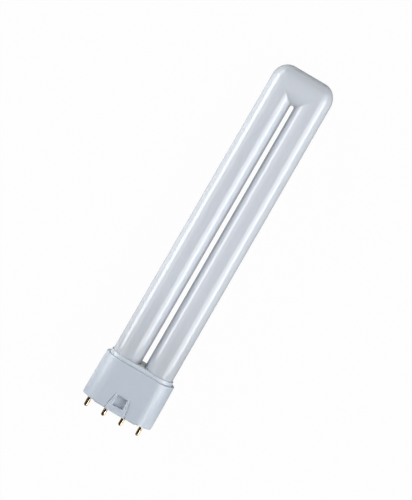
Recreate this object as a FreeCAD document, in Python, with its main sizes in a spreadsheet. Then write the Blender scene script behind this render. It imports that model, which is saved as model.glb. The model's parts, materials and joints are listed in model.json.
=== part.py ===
import FreeCAD, Part
import math
import os
import Sketcher
from enum import IntEnum
from FreeCAD import Placement, Rotation, Vector

# Long twin-tube compact fluorescent lamp with four pins in line.
#
# Each piece is drawn upright: Z is the lamp's axis, 0 at the face of the cap that seats in
# the lampholder and + towards the glass tip. X is across the two tubes and -Y is the front.
# The pieces are then laid down together on the lamp's back, as it comes to rest on a table:
# the tip points along +Y, the front faces up, and the lamp leans a little because the cap is
# thicker than the glass.

# All lengths are in millimetres and angles in degrees.
SIZES = {
    # Glass
    "tube_diameter": 17.4,
    "tube_gap": 2.8,
    "lamp_length": 217.6,
    "bridge_stretch": 1.1,
    "saddle_overlap": 0.15,
    "saddle_depth": 10.0,
    "saddle_thickness": 7.0,
    "leg_end_round": 1.0,
    "leg_rim_width": 2.2,
    "stem_recess_depth": 2.5,
    "stem_rim_width": 0.65,
    "exhaust_diameter": 4.0,
    "exhaust_length": 7.5,
    # Holder with the collar and the two sockets for the glass
    "collar_margin": 0.8,
    "collar_height": 2.3,
    "collar_round": 0.3,
    "bore_gap": 0.3,
    "lip_height": 1.5,
    "lip_width": 1.6,
    # Bonding cement
    "cement_start": 1.0,
    "cement_recess": 1.8,
    "cement_gap": 0.05,
    # Housing of the cap
    "cap_height": 27.5,
    "cap_wall": 1.9,
    "cap_end_allowance": 0.2,
    "cap_draft": 0.73,
    "cap_rim_round": 0.5,
    "cap_foot_round": 0.8,
    "floor_thickness": 3.0,
    "contact_room": 9.0,
    "fit_gap": 0.05,
    "seat_step": 0.5,
    "pad_height": 0.45,
    "notch_width": 1.2,
    "notch_depth": 1.1,
    "notch_reach": 2.5,
    "notch_to_pin": 0.6,
    # Catch for the lampholder's spring, on the front and on the back
    "catch_height": 10.2,
    "catch_cheek": 1.05,
    "catch_flare": 1.9,
    "catch_side_bow": 0.2,
    "catch_rise": 0.4,
    "catch_groove_width": 0.4,
    "catch_groove_depth": 0.5,
    "window_width": 6.5,
    "window_height": 6.4,
    "window_depth": 2.0,
    "window_bevel": 0.5,
    # Contact pins
    "pin_pitch": 11.0,
    "pin_diameter": 2.3,
    "pin_length": 6.8,
    "pin_wall": 0.5,
    "pin_tip_wall": 0.8,
    "pin_shoulder": 0.25,
    "flange_width": 0.6,
    "flange_thickness": 0.7,
    "flange_clearance": 0.6,
    "crimp_length": 1.8,
    # Lead wires
    "wire_diameter": 0.5,
    "wire_to_exhaust": 0.65,
    "wire_end_gap": 0.2,
    "wire_straight": 1.0,
}

PIN_COUNT = 4
# The most that a rounding may take of the wall that it is in.
RIM_ROUND_SHARE = 0.3
COLLAR_ROUND_SHARE = 0.8
# Two places nearer than this are the same place.
NEAR = 0.01

document = FreeCAD.newDocument("compact_fluorescent_bulb")
sheet = document.addObject("Spreadsheet::Sheet", "sizes")
for row, (alias, value) in enumerate(SIZES.items(), start=1):
    sheet.set(f"A{row}", alias)
    sheet.set(f"B{row}", str(value))
    sheet.setAlias(f"B{row}", alias)
document.recompute()


class Length:
    """A size with its present number and the expression that keeps it tied to the sheet."""

    def __init__(self, number, text):
        self.number = number
        self.text = text

    @staticmethod
    def of(value):
        return value if isinstance(value, Length) else Length(float(value), f"{float(value):g}")

    def joined(self, sign, number, other):
        return Length(number, f"({self.text} {sign} {other.text})")

    def __add__(self, other):
        other = Length.of(other)
        return self.joined("+", self.number + other.number, other)

    def __sub__(self, other):
        other = Length.of(other)
        return self.joined("-", self.number - other.number, other)

    def __mul__(self, other):
        other = Length.of(other)
        return self.joined("*", self.number * other.number, other)

    def __truediv__(self, other):
        other = Length.of(other)
        return self.joined("/", self.number / other.number, other)

    def __radd__(self, other):
        return Length.of(other) + self

    def __rsub__(self, other):
        return Length.of(other) - self

    def __rmul__(self, other):
        return Length.of(other) * self

    def __neg__(self):
        return Length.of(0) - self


class SizeTable:
    """Gives each cell of the sheet by its alias."""

    def __getattr__(self, alias):
        return Length(SIZES[alias], f"sizes.{alias}")


size = SizeTable()


def square_root(length):
    return Length(math.sqrt(length.number), f"sqrt({length.text})")


def angle_of_slope(slope):
    return Length(math.degrees(math.atan(slope.number)), f"atan({slope.text})")


def smaller(first, second):
    return Length(min(first.number, second.number), f"min({first.text}; {second.text})")


def larger(first, second):
    return Length(max(first.number, second.number), f"max({first.text}; {second.text})")


# Places that several pieces share, measured on the upright lamp.
ZERO = Length.of(0)
tube_radius = size.tube_diameter / 2
tube_pitch = size.tube_diameter + size.tube_gap
leg_x = tube_pitch / 2
bridge_half_height = tube_radius + size.bridge_stretch
bridge_z = size.lamp_length - bridge_half_height
collar_radius = tube_radius + size.collar_margin
bore_radius = tube_radius + size.bore_gap
collar_top = size.cap_height + size.collar_height
holder_foot = size.floor_thickness + size.contact_room
leg_end_z = holder_foot + size.lip_height
stem_top_z = leg_end_z + size.stem_recess_depth
wire_radius = size.wire_diameter / 2
wire_from_leg = size.exhaust_diameter / 2 + size.wire_to_exhaust + wire_radius
outer_pin_x = size.pin_pitch * ((PIN_COUNT - 1) / 2)
pin_root = size.pin_diameter / 2 + size.pin_shoulder
flange_radius = pin_root + size.flange_width
flange_top = size.floor_thickness + size.flange_thickness
crimp_top = flange_top + size.crimp_length
upper_cavity_radius = collar_radius + size.fit_gap
lower_cavity_radius = collar_radius - size.seat_step
lower_cavity_x = outer_pin_x + flange_radius + size.flange_clearance - lower_cavity_radius
cap_radius = upper_cavity_radius + size.cap_wall
cap_end_x = larger(leg_x, lower_cavity_x) + size.cap_end_allowance
catch_face = cap_radius + size.catch_rise


def rest_angle():
    """How far the lamp leans when the catch on its back and its glass both touch a table.

    The table touches the catch's upper edge and the elliptical section of the bridge, so
    slope * reach + sqrt(tube_radius^2 + (bridge_half_height * slope)^2) = catch_face.
    """
    reach = bridge_z - size.catch_height
    square = reach * reach - bridge_half_height * bridge_half_height
    excess = catch_face * catch_face - tube_radius * tube_radius
    linear = catch_face * reach
    return angle_of_slope((linear - square_root(linear * linear - square * excess)) / square)


lean = rest_angle()
laid_down = lean + Length(90, "90deg")


def bind(thing, **lengths):
    """Ties properties of an object to the sheet."""
    for name, length in lengths.items():
        thing.setExpression(name, Length.of(length).text)


def lay_down(thing, label, across=ZERO):
    """Names a finished piece, moves it across the lamp and lays it on the lamp's back."""
    thing.Label = label
    backwards = Rotation(Vector(-1, 0, 0), laid_down.number)
    thing.Placement = Placement(Vector(across.number, 0, 0), backwards)
    thing.setExpression("Placement.Base.x", across.text)
    thing.setExpression("Placement.Rotation.Angle", laid_down.text)
    return thing


# Sketching


def new_body(name):
    return document.addObject("PartDesign::Body", name)


def plane_of(body, role):
    return next(part for part in body.Origin.OriginFeatures if part.Role == role)


def new_sketch(body, name, role, offset=ZERO):
    """A sketch on one of the body's own planes, moved along the plane's normal."""
    sketch = body.newObject("Sketcher::SketchObject", name)
    sketch.AttachmentSupport = (plane_of(body, role), [""])
    sketch.MapMode = "FlatFace"
    sketch.AttachmentOffset = Placement(Vector(0, 0, offset.number), Rotation())
    sketch.setExpression("AttachmentOffset.Base.z", offset.text)
    return sketch


def constrain(sketch, kind, *places):
    """Adds a geometric constraint, or one with a length, which is tied to the sheet."""
    if isinstance(places[-1], Length):
        length = places[-1]
        index = sketch.addConstraint(Sketcher.Constraint(kind, *places[:-1], length.number))
        sketch.setExpression(f"Constraints[{index}]", length.text)
    else:
        sketch.addConstraint(Sketcher.Constraint(kind, *places))


class Spot(IntEnum):
    """The points of a sketched shape that a constraint can hold."""

    START = 1
    END = 2
    CENTRE = 3


class Axis(IntEnum):
    """A sketch's own two axes."""

    ACROSS = -1
    UP = -2


START, END, CENTRE = Spot
X_AXIS, Y_AXIS = Axis
ORIGIN = (X_AXIS, START)


def pin_point(sketch, shape, end, across, up):
    """Holds one end of a sketched shape at its two coordinates."""
    for kind, axis, length in (("DistanceX", Y_AXIS, across), ("DistanceY", X_AXIS, up)):
        if length is ZERO:
            constrain(sketch, "PointOnObject", shape, end, axis)
        else:
            constrain(sketch, kind, *ORIGIN, shape, end, length)


def point_at(across, up):
    return Vector(across.number, up.number, 0)


def draw_polygon(sketch, corners):
    """A closed outline of straight sides through (across, up) corners."""
    first = sketch.GeometryCount
    count = len(corners)
    for index, corner in enumerate(corners):
        following = corners[(index + 1) % count]
        sketch.addGeometry(Part.LineSegment(point_at(*corner), point_at(*following)), False)
    for index, corner in enumerate(corners):
        following = first + (index + 1) % count
        constrain(sketch, "Coincident", first + index, END, following, START)
        pin_point(sketch, first + index, START, *corner)


def draw_box(sketch, left, right, low, high):
    draw_polygon(sketch, [(left, low), (right, low), (right, high), (left, high)])


def draw_circle(sketch, across, up, radius):
    shape = sketch.addGeometry(
        Part.Circle(point_at(across, up), Vector(0, 0, 1), radius.number), False)
    constrain(sketch, "Radius", shape, radius)
    pin_point(sketch, shape, CENTRE, across, up)


def draw_stadium(sketch, half_pitch, radius):
    """Two half circles about (-half_pitch, 0) and (half_pitch, 0), joined by straight sides."""
    pitch, round_radius = half_pitch.number, radius.number
    quarter = math.pi / 2
    right = sketch.addGeometry(Part.ArcOfCircle(
        Part.Circle(Vector(pitch, 0, 0), Vector(0, 0, 1), round_radius), -quarter, quarter), False)
    left = sketch.addGeometry(Part.ArcOfCircle(
        Part.Circle(Vector(-pitch, 0, 0), Vector(0, 0, 1), round_radius), quarter, 3 * quarter), False)
    top = sketch.addGeometry(Part.LineSegment(
        Vector(pitch, round_radius, 0), Vector(-pitch, round_radius, 0)), False)
    bottom = sketch.addGeometry(Part.LineSegment(
        Vector(-pitch, -round_radius, 0), Vector(pitch, -round_radius, 0)), False)
    constrain(sketch, "Tangent", right, END, top, START)
    constrain(sketch, "Tangent", top, END, left, START)
    constrain(sketch, "Tangent", left, END, bottom, START)
    constrain(sketch, "Tangent", bottom, END, right, START)
    pin_point(sketch, right, CENTRE, half_pitch, ZERO)
    pin_point(sketch, left, CENTRE, -half_pitch, ZERO)
    constrain(sketch, "Radius", right, radius)


def draw_arc(sketch, start, middle, end):
    """An arc through three points; gives it with the names of its ends at start and at end."""
    shape = sketch.addGeometry(Part.Arc(start, middle, end), False)
    runs_back = (sketch.getPoint(shape, START) - start).Length > NEAR
    return (shape, END, START) if runs_back else (shape, START, END)


def draw_arc_through(sketch, start, middle, end):
    """An arc that is held at its middle point, so that it keeps its bow."""
    arc = draw_arc(sketch, point_at(*start), point_at(*middle), point_at(*end))
    marker = sketch.addGeometry(Part.Point(point_at(*middle)), True)
    constrain(sketch, "PointOnObject", marker, START, arc[0])
    pin_point(sketch, marker, START, *middle)
    return arc


# Part Design features


def add_feature(body, kind, name, **lengths):
    feature = body.newObject(f"PartDesign::{kind}", name)
    bind(feature, **lengths)
    return feature


def pad(body, sketch, length, name, taper=ZERO, midplane=False):
    feature = add_feature(body, "Pad", name, Length=length, TaperAngle=taper)
    feature.Profile = sketch
    feature.Midplane = midplane
    document.recompute()
    return feature


def pocket(body, sketch, depth, name, along_normal=False):
    """Cuts against the sketch's normal, or along it, and makes sure that something was cut."""
    before = body.Shape.Volume
    feature = add_feature(body, "Pocket", name, Length=depth)
    feature.Profile = sketch
    feature.Reversed = along_normal
    document.recompute()
    if not body.Shape.Volume < before:
        raise RuntimeError(f"{name} cuts nothing")
    return feature


def edges_where(shape, test):
    """Names of the edges whose box passes the test."""
    return [f"Edge{index}" for index, edge in enumerate(shape.Edges, start=1)
            if test(edge.BoundBox)]


def dress(body, kind, name, test, **lengths):
    """Rounds or bevels the edges of the body that pass the test."""
    base = body.Tip
    names = edges_where(base.Shape, test)
    if not names:
        raise RuntimeError(f"{name} finds no edge")
    feature = add_feature(body, kind, name, **lengths)
    feature.Base = (base, names)
    document.recompute()
    return feature


def mirror(body, name, features, role):
    """Repeats features on the other side of one of the body's own planes."""
    mirrored = body.newObject("PartDesign::Mirrored", name)
    mirrored.Originals = features
    mirrored.MirrorPlane = (plane_of(body, role), [""])
    body.Tip = mirrored
    document.recompute()


def flat_at(height):
    """A test for edges that lie in the level plane at a height."""
    return lambda box: abs(box.ZMin - height.number) < NEAR and abs(box.ZMax - height.number) < NEAR


# Glass vessel


def draw_profile(sketch, corners):
    """A chain of straight lines through corners, each held at both ends."""
    first = sketch.GeometryCount
    for index, (start, end) in enumerate(zip(corners, corners[1:])):
        line = sketch.addGeometry(Part.LineSegment(point_at(*start), point_at(*end)), False)
        pin_point(sketch, line, START, *start)
        if index:
            constrain(sketch, "Coincident", line - 1, END, line, START)
    last = sketch.GeometryCount - 1
    pin_point(sketch, last, END, *corners[-1])
    return first, last


def draw_round_tip(sketch, first, last, centre, radius):
    """A quarter circle below its centre, from the end of line last to the start of line first."""
    tip = sketch.addGeometry(Part.ArcOfCircle(
        Part.Circle(point_at(*centre), Vector(0, 0, 1), radius.number), -math.pi / 2, 0), False)
    constrain(sketch, "Coincident", tip, START, last, END)
    constrain(sketch, "Tangent", tip, END, first, START)


def draw_axis(sketch, start, end):
    """The construction line that a profile turns about."""
    axis = sketch.addGeometry(Part.LineSegment(point_at(*start), point_at(*end)), True)
    pin_point(sketch, axis, START, *start)
    pin_point(sketch, axis, END, *end)


def turn(body, sketch, name, angle=None):
    """Turns a profile about its construction line, all round or evenly to both sides."""
    feature = body.newObject("PartDesign::Revolution", name)
    feature.Profile = sketch
    feature.ReferenceAxis = (sketch, ["Axis0"])
    if angle is not None:
        feature.Angle = angle
        feature.Midplane = True
    document.recompute()
    return feature


def draw_ellipse(sketch, up, half_width, half_height):
    """A whole ellipse centred on the sketch's upright axis."""
    centre, top, side = (ZERO, up), (ZERO, up + half_height), (half_width, up)
    if half_height.number > half_width.number:
        direction, ends, halves = "Vertical", (top, side), (half_height, half_width)
    else:
        direction, ends, halves = "Horizontal", (side, top), (half_width, half_height)
    shape = sketch.addGeometry(
        Part.Ellipse(point_at(*ends[0]), point_at(*ends[1]), point_at(*centre)), False)
    sketch.exposeInternalGeometry(shape)
    long_axis, short_axis = shape + 1, shape + 2
    pin_point(sketch, shape, CENTRE, *centre)
    constrain(sketch, direction, long_axis)
    constrain(sketch, "Distance", long_axis, halves[0] * 2)
    constrain(sketch, "Distance", short_axis, halves[1] * 2)


def make_bridge(body):
    """The straight elliptical tube that joins the legs at the tip."""
    sketch = new_sketch(body, "bridge_section", "YZ_Plane")
    draw_ellipse(sketch, bridge_z, tube_radius, bridge_half_height)
    pad(body, sketch, tube_pitch, "bridge", midplane=True)


def make_saddle(body):
    """The round end of the slit, where the legs and the bridge flow together in a saddle."""
    slit_half = size.tube_gap / 2
    inner_radius = slit_half + size.saddle_overlap
    slit_centre_z = bridge_z - bridge_half_height - slit_half
    sketch = new_sketch(body, "saddle_section", "YZ_Plane")
    draw_axis(sketch, (ZERO, slit_centre_z), (slit_half, slit_centre_z))
    draw_ellipse(sketch, slit_centre_z + inner_radius + size.saddle_thickness / 2,
                 size.saddle_depth / 2, size.saddle_thickness / 2)
    turn(body, sketch, "saddle", angle=180)


def make_leg(body):
    """The right leg, with the stem and the exhaust tube that seal its lower end."""
    exhaust_radius = size.exhaust_diameter / 2
    exhaust_tip = stem_top_z - size.exhaust_length
    sketch = new_sketch(body, "leg_profile", "XZ_Plane")
    draw_axis(sketch, (leg_x, exhaust_tip), (leg_x, bridge_z))
    first, last = draw_profile(sketch, [
        (leg_x + exhaust_radius, exhaust_tip + exhaust_radius),
        (leg_x + exhaust_radius, stem_top_z),
        (leg_x + wire_from_leg + wire_radius + size.stem_rim_width, stem_top_z),
        (leg_x + tube_radius - size.leg_rim_width, leg_end_z),
        (leg_x + tube_radius, leg_end_z),
        (leg_x + tube_radius, bridge_z),
        (leg_x, bridge_z),
        (leg_x, exhaust_tip)])
    draw_round_tip(sketch, first, last, (leg_x, exhaust_tip + exhaust_radius), exhaust_radius)
    return turn(body, sketch, "leg")


def make_corner(body):
    """The rounded outer corner above the right leg, half of a spheroid's upper half."""
    sketch = new_sketch(body, "corner_profile", "XZ_Plane")
    centre, top = (leg_x, bridge_z), (leg_x, bridge_z + bridge_half_height)
    side = (leg_x + tube_radius, bridge_z)
    draw_axis(sketch, centre, top)
    first, last = draw_profile(sketch, [top, centre, side])
    ellipse = Part.Ellipse(point_at(*top), point_at(*side), point_at(*centre))
    arc = sketch.addGeometry(Part.ArcOfEllipse(ellipse, -math.pi / 2, 0), False)
    sketch.exposeInternalGeometry(arc)
    constrain(sketch, "Coincident", arc, START, last, END)
    constrain(sketch, "Coincident", arc, END, first, START)
    constrain(sketch, "Coincident", arc, CENTRE, first, END)
    constrain(sketch, "Vertical", arc + 1)
    return turn(body, sketch, "corner", angle=180)


def make_discharge_tube():
    body = new_body("discharge_tube")
    make_bridge(body)
    leg = make_leg(body)
    corner = make_corner(body)
    mirror(body, "left_leg", [leg, corner], "YZ_Plane")
    make_saddle(body)
    dress(body, "Fillet", "leg_ends",
          lambda box: flat_at(leg_end_z)(box) and box.YMax > tube_radius.number - NEAR,
          Radius=size.leg_end_round)
    return lay_down(body, "discharge_tube")


# Cap housing


def make_cap_blank(body):
    outline = new_sketch(body, "housing_outline", "XY_Plane")
    draw_stadium(outline, cap_end_x, cap_radius)
    pad(body, outline, size.cap_height, "housing_blank", taper=-size.cap_draft)
    dress(body, "Fillet", "rim_round", flat_at(size.cap_height),
          Radius=smaller(size.cap_rim_round, size.cap_wall * RIM_ROUND_SHARE))
    dress(body, "Fillet", "foot_round", flat_at(ZERO), Radius=size.cap_foot_round)


def cut_seat(body):
    """Leaves the seat pad proud, the ends of the foot a little higher, and a blind notch in
    the front and the back edge at each end of the pad."""
    beyond = cap_end_x + cap_radius * 2
    notch_end = cap_radius - size.notch_reach
    notch_edge = outer_pin_x - pin_root - size.notch_to_pin
    pad_edge = notch_edge - size.notch_width
    ends = new_sketch(body, "foot_ends", "XY_Plane")
    draw_box(ends, pad_edge, beyond, -beyond, beyond)
    draw_box(ends, -beyond, -pad_edge, -beyond, beyond)
    pocket(body, ends, size.pad_height, "raised_foot_ends", along_normal=True)
    notches = new_sketch(body, "notch_outline", "XY_Plane")
    for low, high in ((-beyond, -notch_end), (notch_end, beyond)):
        draw_box(notches, pad_edge, notch_edge, low, high)
        draw_box(notches, -notch_edge, -pad_edge, low, high)
    pocket(body, notches, size.notch_depth, "foot_notches", along_normal=True)


def hollow_cap(body):
    """The upper cavity takes the holder, which sits on the step of the lower one."""
    upper = new_sketch(body, "upper_cavity_outline", "XY_Plane", size.cap_height)
    draw_stadium(upper, leg_x, upper_cavity_radius)
    pocket(body, upper, size.cap_height - holder_foot, "upper_cavity")
    lower = new_sketch(body, "lower_cavity_outline", "XY_Plane", holder_foot)
    draw_stadium(lower, lower_cavity_x, lower_cavity_radius)
    pocket(body, lower, size.contact_room, "lower_cavity")


def pin_places():
    """Distances of the four pins from the lamp's centre plane, from left to right."""
    return [size.pin_pitch * number - outer_pin_x for number in range(PIN_COUNT)]


def drill_pin_holes(body):
    holes = new_sketch(body, "pin_hole_circles", "XY_Plane")
    for across in pin_places():
        draw_circle(holes, across, ZERO, pin_root + size.fit_gap)
    pocket(body, holes, size.floor_thickness, "pin_holes", along_normal=True)


def draw_catch(sketch, widening):
    """The catch's outline: narrow at the top, wide at the foot, with slightly bowed sides."""
    top = size.window_width / 2 + size.catch_cheek + widening
    foot = top + size.catch_flare
    middle = (top + foot) / 2 + size.catch_side_bow
    high, half_high = size.catch_height, size.catch_height / 2
    right = draw_arc_through(sketch, (foot, ZERO), (middle, half_high), (top, high))
    left = draw_arc_through(sketch, (-foot, ZERO), (-middle, half_high), (-top, high))
    head = sketch.addGeometry(Part.LineSegment(point_at(top, high), point_at(-top, high)), False)
    base = sketch.addGeometry(Part.LineSegment(point_at(-foot, ZERO), point_at(foot, ZERO)), False)
    constrain(sketch, "Coincident", head, START, right[0], right[2])
    constrain(sketch, "Coincident", head, END, left[0], left[2])
    constrain(sketch, "Coincident", base, START, left[0], left[1])
    constrain(sketch, "Coincident", base, END, right[0], right[1])
    pin_point(sketch, head, START, top, high)
    pin_point(sketch, head, END, -top, high)
    pin_point(sketch, base, START, -foot, ZERO)
    pin_point(sketch, base, END, foot, ZERO)


def make_catches(body):
    """A raised catch with a groove down each side and a window for the spring's tooth."""
    groove_floor = cap_radius - size.catch_groove_depth
    groove = new_sketch(body, "catch_groove_outline", "XZ_Plane", catch_face)
    draw_catch(groove, size.catch_groove_width)
    groove_cut = pocket(body, groove, catch_face - groove_floor, "catch_groove")
    outline = new_sketch(body, "catch_outline", "XZ_Plane", groove_floor)
    draw_catch(outline, ZERO)
    catch = pad(body, outline, catch_face - groove_floor, "catch_pad")
    window = new_sketch(body, "window_outline", "XZ_Plane", catch_face)
    half_width = size.window_width / 2
    sill = size.catch_height - size.window_height
    draw_box(window, -half_width, half_width, sill, size.catch_height)
    window_cut = pocket(body, window, size.window_depth, "window_cut")
    mirror(body, "back_catch", [groove_cut, catch, window_cut], "XZ_Plane")

    def on_window_rim(box):
        depth = min(abs(box.YMin), abs(box.YMax))
        return (abs(depth - catch_face.number) < NEAR and box.XMin > -half_width.number - NEAR
                and box.XMax < half_width.number + NEAR and box.ZMin > sill.number - NEAR)

    dress(body, "Chamfer", "window_bevel", on_window_rim, Size=size.window_bevel)


def make_cap_housing():
    body = new_body("cap_housing")
    make_cap_blank(body)
    make_catches(body)
    cut_seat(body)
    hollow_cap(body)
    drill_pin_holes(body)
    return lay_down(body, "cap_housing")


# Tube holder


def make_tube_holder():
    """The insert whose collar shows above the housing and whose two bores hold the glass."""
    body = new_body("tube_holder")
    outline = new_sketch(body, "holder_outline", "XY_Plane", holder_foot)
    draw_stadium(outline, leg_x, collar_radius)
    pad(body, outline, collar_top - holder_foot, "holder_blank")
    collar_wall = size.collar_margin - size.bore_gap
    dress(body, "Fillet", "collar_round", flat_at(collar_top),
          Radius=smaller(size.collar_round, collar_wall * COLLAR_ROUND_SHARE))
    bores = new_sketch(body, "socket_circles", "XY_Plane", collar_top)
    lips = new_sketch(body, "lip_circles", "XY_Plane", collar_top)
    for across in (-leg_x, leg_x):
        draw_circle(bores, across, ZERO, bore_radius)
        draw_circle(lips, across, ZERO, bore_radius - size.lip_width)
    pocket(body, bores, collar_top - leg_end_z, "sockets")
    pocket(body, lips, collar_top - holder_foot, "lip_openings")
    return lay_down(body, "tube_holder")


def make_bonding_cement(side, across):
    """A thin sleeve of cement between a glass leg and its socket."""
    body = new_body(f"bonding_cement_{side}")
    low = leg_end_z + size.leg_end_round + size.cement_start
    high = collar_top - size.cement_recess
    ring = new_sketch(body, f"cement_ring_{side}", "XY_Plane", low)
    draw_circle(ring, ZERO, ZERO, bore_radius - size.cement_gap)
    draw_circle(ring, ZERO, ZERO, tube_radius + size.cement_gap)
    pad(body, ring, high - low, f"cement_sleeve_{side}")
    return lay_down(body, f"bonding_cement_{side}", across)


# Contacts


def make_contact_pin(number, across, face):
    """A hollow turned pin with a round tip, held by its root and its flange in the floor.

    Its root is flush with the face that it comes out of.
    """
    body = new_body(f"contact_pin_{number}")
    profile = new_sketch(body, f"pin_profile_{number}", "XZ_Plane")
    radius = size.pin_diameter / 2
    bore = radius - size.pin_wall
    tip = -size.pin_length
    dome_top = tip + radius
    bore_end = tip + size.pin_tip_wall
    draw_axis(profile, (ZERO, tip), (ZERO, crimp_top))
    corners = [(radius, dome_top), (radius, face), (pin_root, face),
               (pin_root, size.floor_thickness), (flange_radius, size.floor_thickness),
               (flange_radius, flange_top), (radius, flange_top), (radius, crimp_top),
               (bore, crimp_top), (bore, bore_end), (ZERO, bore_end), (ZERO, tip)]
    first, last = draw_profile(profile, corners)
    draw_round_tip(profile, first, last, (ZERO, dome_top), radius)
    turn(body, profile, f"turned_pin_{number}")
    return lay_down(body, f"contact_pin_{number}", across)


def make_lead_wire(number, pin_x, stem_x):
    """A wire from the glass stem into its pin, with an S bend of two equal arcs."""
    body = new_body(f"lead_wire_{number}")
    shift = stem_x - pin_x
    foot = -size.pin_length + size.pin_tip_wall + size.wire_end_gap
    bend_low = crimp_top + size.wire_straight
    bend_high = leg_end_z - size.wire_straight
    path = new_sketch(body, f"wire_path_{number}", "XZ_Plane")
    middle = (shift / 2, (bend_low + bend_high) / 2)
    lower = path.addGeometry(Part.LineSegment(point_at(ZERO, foot), point_at(ZERO, bend_low)), False)
    upper = path.addGeometry(
        Part.LineSegment(point_at(shift, bend_high), point_at(shift, stem_top_z)), False)
    rise = (bend_high - bend_low).number
    bend = (shift.number ** 2 + rise ** 2) / (4 * shift.number)
    half_turn = math.atan(abs(shift.number) / rise)
    lower_middle = Vector(bend * (1 - math.cos(half_turn)),
                          bend_low.number + abs(bend) * math.sin(half_turn), 0)
    upper_middle = point_at(shift, bend_low + bend_high) - lower_middle
    first, first_start, first_end = draw_arc(
        path, point_at(ZERO, bend_low), lower_middle, point_at(*middle))
    second, second_start, second_end = draw_arc(
        path, point_at(*middle), upper_middle, point_at(shift, bend_high))
    pin_point(path, lower, START, ZERO, foot)
    pin_point(path, lower, END, ZERO, bend_low)
    pin_point(path, upper, START, shift, bend_high)
    pin_point(path, upper, END, shift, stem_top_z)
    constrain(path, "Tangent", lower, END, first, first_start)
    constrain(path, "Tangent", second, second_end, upper, START)
    constrain(path, "Coincident", first, first_end, second, second_start)
    pin_point(path, first, first_end, *middle)
    section = new_sketch(body, f"wire_section_{number}", "XY_Plane", foot)
    draw_circle(section, ZERO, ZERO, wire_radius)
    sweep = body.newObject("PartDesign::AdditivePipe", f"wire_{number}")
    sweep.Profile = section
    sweep.Spine = (path, [])
    document.recompute()
    length = sum(edge.Length for edge in path.Shape.Edges)
    expected = length * math.pi * wire_radius.number ** 2
    if abs(body.Shape.Volume / expected - 1) > NEAR:
        raise RuntimeError(f"lead_wire_{number} is not a plain round wire")
    return lay_down(body, f"lead_wire_{number}", pin_x)


def make_contacts():
    stems = [-leg_x - wire_from_leg, -leg_x + wire_from_leg,
             leg_x - wire_from_leg, leg_x + wire_from_leg]
    faces = [size.pad_height, ZERO, ZERO, size.pad_height]
    pieces = []
    for number, (pin_x, stem_x, face) in enumerate(zip(pin_places(), stems, faces), start=1):
        pieces.append(make_contact_pin(number, pin_x, face))
        pieces.append(make_lead_wire(number, pin_x, stem_x))
    return pieces


def check_document():
    for thing in document.Objects:
        if "Invalid" in thing.State or "Error" in thing.State:
            raise RuntimeError(f"{thing.Label} failed: {thing.State}")


def write_pieces(pieces):
    """Writes each piece to parts, after checking that it is one sound solid."""
    os.makedirs("parts", exist_ok=True)
    for piece in pieces:
        shape = piece.Shape
        if shape.isNull() or not shape.isValid() or len(shape.Solids) != 1:
            raise RuntimeError(f"{piece.Label} is not one sound solid")
    for piece in pieces:
        piece.Shape.exportStep(f"parts/{piece.Label}.step")
        box = piece.Shape.BoundBox
        print(f"{piece.Label}: {piece.Shape.Volume:.1f} mm3, "
              f"x {box.XMin:.2f} to {box.XMax:.2f}, y {box.YMin:.2f} to {box.YMax:.2f}, "
              f"z {box.ZMin:.2f} to {box.ZMax:.2f}")


pieces = [make_discharge_tube(), make_cap_housing(), make_tube_holder(),
          make_bonding_cement("left", -leg_x), make_bonding_cement("right", leg_x)]
pieces += make_contacts()
document.recompute()
check_document()
write_pieces(pieces)
print(f"The lamp leans {lean.number:.3f} degrees at rest.")
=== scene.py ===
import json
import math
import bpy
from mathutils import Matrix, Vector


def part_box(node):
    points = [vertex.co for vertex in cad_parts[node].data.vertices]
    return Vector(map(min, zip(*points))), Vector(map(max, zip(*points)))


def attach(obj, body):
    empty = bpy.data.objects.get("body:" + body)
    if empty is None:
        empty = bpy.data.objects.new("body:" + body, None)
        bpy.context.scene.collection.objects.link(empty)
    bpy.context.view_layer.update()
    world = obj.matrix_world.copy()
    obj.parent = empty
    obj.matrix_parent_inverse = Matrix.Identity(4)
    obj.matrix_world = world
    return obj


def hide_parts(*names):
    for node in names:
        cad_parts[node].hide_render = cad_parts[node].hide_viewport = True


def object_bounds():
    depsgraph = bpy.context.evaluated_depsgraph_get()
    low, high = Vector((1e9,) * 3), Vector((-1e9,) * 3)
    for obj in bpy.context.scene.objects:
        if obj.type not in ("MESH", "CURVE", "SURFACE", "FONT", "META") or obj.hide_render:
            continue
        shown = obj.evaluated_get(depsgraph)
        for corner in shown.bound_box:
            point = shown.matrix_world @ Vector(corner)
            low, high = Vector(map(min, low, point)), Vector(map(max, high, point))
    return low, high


bl_info = {
    "name": "Compact Fluorescent Bulb",
    "version": (1, 0, 0),
    "blender": (4, 5, 0),
    "location": "View3D > Sidebar > Bulb",
    "description": "Models the looks of a long twin-tube fluorescent bulb on its frame",
    "category": "Object",
}

import bmesh
import bpy
from bpy.props import FloatProperty, FloatVectorProperty, IntProperty, PointerProperty
from mathutils import Matrix, Vector

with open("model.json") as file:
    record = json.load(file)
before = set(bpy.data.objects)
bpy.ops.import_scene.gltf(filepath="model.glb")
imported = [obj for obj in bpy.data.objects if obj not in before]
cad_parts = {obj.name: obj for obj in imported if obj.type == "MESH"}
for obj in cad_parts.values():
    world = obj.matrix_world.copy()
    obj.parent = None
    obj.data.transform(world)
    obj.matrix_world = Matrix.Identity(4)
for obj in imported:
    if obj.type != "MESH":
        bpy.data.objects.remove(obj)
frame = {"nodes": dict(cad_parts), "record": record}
CAD_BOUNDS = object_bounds()

MM = 0.001
NEAR = 1e-6
SPARE = MM  # How far a cut starts or ends beyond what it cuts
QUARTER_TURN = math.pi / 2
SHARP_ANGLE = math.radians(32)  # Steeper edges are shaded sharp
FLAT_ANGLE = math.radians(0.5)  # Faces within this angle become one flat face

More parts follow.
